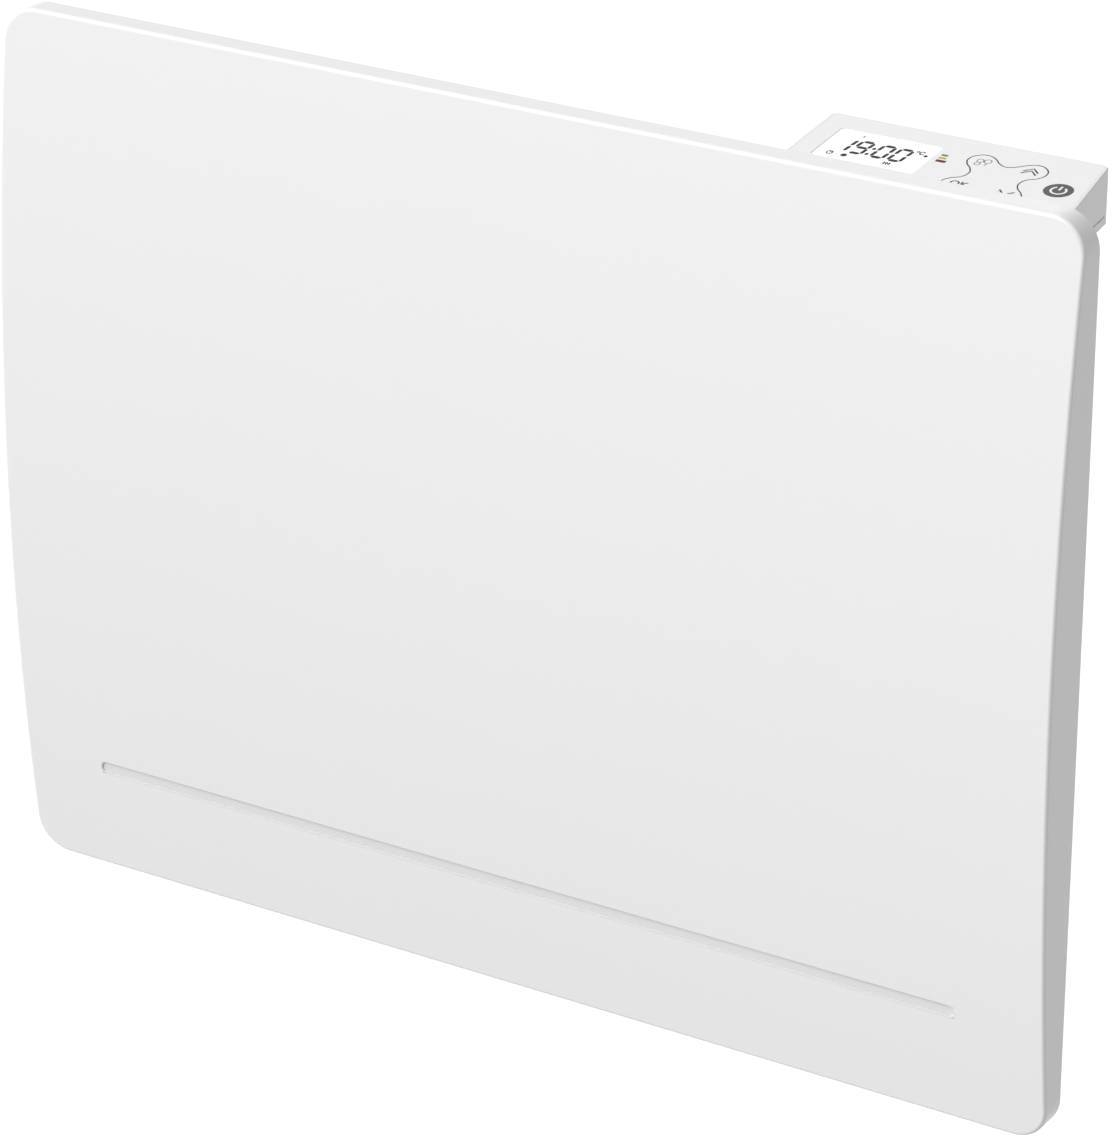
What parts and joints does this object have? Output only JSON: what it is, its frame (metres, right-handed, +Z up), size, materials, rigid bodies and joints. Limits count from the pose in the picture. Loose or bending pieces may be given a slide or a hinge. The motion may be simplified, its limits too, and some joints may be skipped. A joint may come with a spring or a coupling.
{
  "type": "wall panel convector heater",
  "caption": "Wall-hung electric convector heater: bowed steel front panel with a pressed groove, louvred rear casing, top control box with display, wall bracket.",
  "frame": {"origin": "centre of the wall bracket's four screw slots, on the wall's surface", "axes": "+X to the right along the wall, +Y into the wall, +Z up; the front panel faces -Y"},
  "size_m": [0.5886, 0.1007, 0.46],
  "materials": {
    "white_enamel": "satin",
    "casing_paint": "satin",
    "bracket_zinc": "satin",
    "screw_zinc": "satin",
    "element_aluminium": "satin",
    "rod_steel": "satin",
    "ceramic": "satin",
    "plated_sheet": "satin",
    "cutout_body": "satin",
    "tray_plastic": "matte",
    "board_green": "satin",
    "relay_case": "satin",
    "terminal_plastic": "satin",
    "lead_sleeve": "matte",
    "switch_black": "satin",
    "rocker_black": "satin",
    "sensor_epoxy": "gloss",
    "box_white": "satin",
    "spacer_white": "matte",
    "grommet_rubber": "matte",
    "printed_film": "satin",
    "clear_pane": "gloss",
    "display_white": "gloss",
    "frame_white": "matte",
    "switch_metal": "satin",
    "key_plastic": "satin"
  },
  "bodies": {
    "wall_bracket": {"bracket_upper_rail": "bracket_zinc", "bracket_lower_rail": "bracket_zinc", "bracket_upright_left": "bracket_zinc", "bracket_upright_right": "bracket_zinc"},
    "heater": {"front_panel": "white_enamel", "panel_rail_left": "casing_paint", "panel_rail_right": "casing_paint", "panel_screws": "screw_zinc", "rear_casing": "casing_paint", "wall_spacers": "spacer_white", "casing_screws": "screw_zinc", "element_body": "element_aluminium", "heating_rod": "rod_steel", "rod_terminals": "rod_steel", "element_bushes": "ceramic", "element_bracket_left": "plated_sheet", "element_bracket_right": "plated_sheet", "heat_shield": "plated_sheet", "thermal_cutout": "cutout_body", "cutout_clip": "plated_sheet", "power_tray": "tray_plastic", "power_board": "board_green", "relay": "relay_case", "transformer": "relay_case", "terminal_block": "terminal_plastic", "board_connectors": "terminal_plastic", "element_leads": "lead_sleeve", "switch_leads": "lead_sleeve", "cutout_leads": "lead_sleeve", "sensor_lead": "lead_sleeve", "display_cable": "lead_sleeve", "switch_housing": "switch_black", "supply_gland": "tray_plastic", "sensor_holder": "tray_plastic", "air_sensor": "sensor_epoxy", "control_box_cover": "box_white", "control_box_base": "box_white", "box_screws": "screw_zinc", "box_mount_screws": "screw_zinc", "cable_grommet": "grommet_rubber", "keypad_film": "printed_film", "display_window": "clear_pane", "display_glass": "display_white", "display_frame": "frame_white", "control_board": "board_green", "control_parts": "terminal_plastic", "tact_switches": "switch_metal"},
    "power_rocker": {"rocker": "rocker_black"},
    "mode_key": {"key_mode": "key_plastic"},
    "up_key": {"key_up": "key_plastic"},
    "ok_key": {"key_ok": "key_plastic"},
    "down_key": {"key_down": "key_plastic"},
    "power_key": {"key_power": "key_plastic"}
  },
  "joints": [
    {"name": "lift_off", "type": "slide", "parent": "wall_bracket", "child": "heater", "axis": [0, 0, 1], "range_m": [0, 0.013]},
    {"name": "rocker_tilt", "type": "hinge", "parent": "heater", "child": "power_rocker", "pos_m": [0.256, -0.044, -0.1297], "axis": [0, 1, 0], "range_deg": [0, 22]},
    {"name": "mode_key_press", "type": "slide", "parent": "heater", "child": "mode_key", "axis": [0, 0.1142, -0.9935], "range_m": [0, 0.0003], "stiffness_N_per_m": 1500, "springref_m": -0.0003},
    {"name": "up_key_press", "type": "slide", "parent": "heater", "child": "up_key", "axis": [0, 0.1142, -0.9935], "range_m": [0, 0.0003], "stiffness_N_per_m": 1500, "springref_m": -0.0003},
    {"name": "ok_key_press", "type": "slide", "parent": "heater", "child": "ok_key", "axis": [0, 0.1142, -0.9935], "range_m": [0, 0.0003], "stiffness_N_per_m": 1500, "springref_m": -0.0003},
    {"name": "down_key_press", "type": "slide", "parent": "heater", "child": "down_key", "axis": [0, 0.1142, -0.9935], "range_m": [0, 0.0003], "stiffness_N_per_m": 1500, "springref_m": -0.0003},
    {"name": "power_key_press", "type": "slide", "parent": "heater", "child": "power_key", "axis": [0, 0.1142, -0.9935], "range_m": [0, 0.0003], "stiffness_N_per_m": 1500, "springref_m": -0.0003}
  ]
}
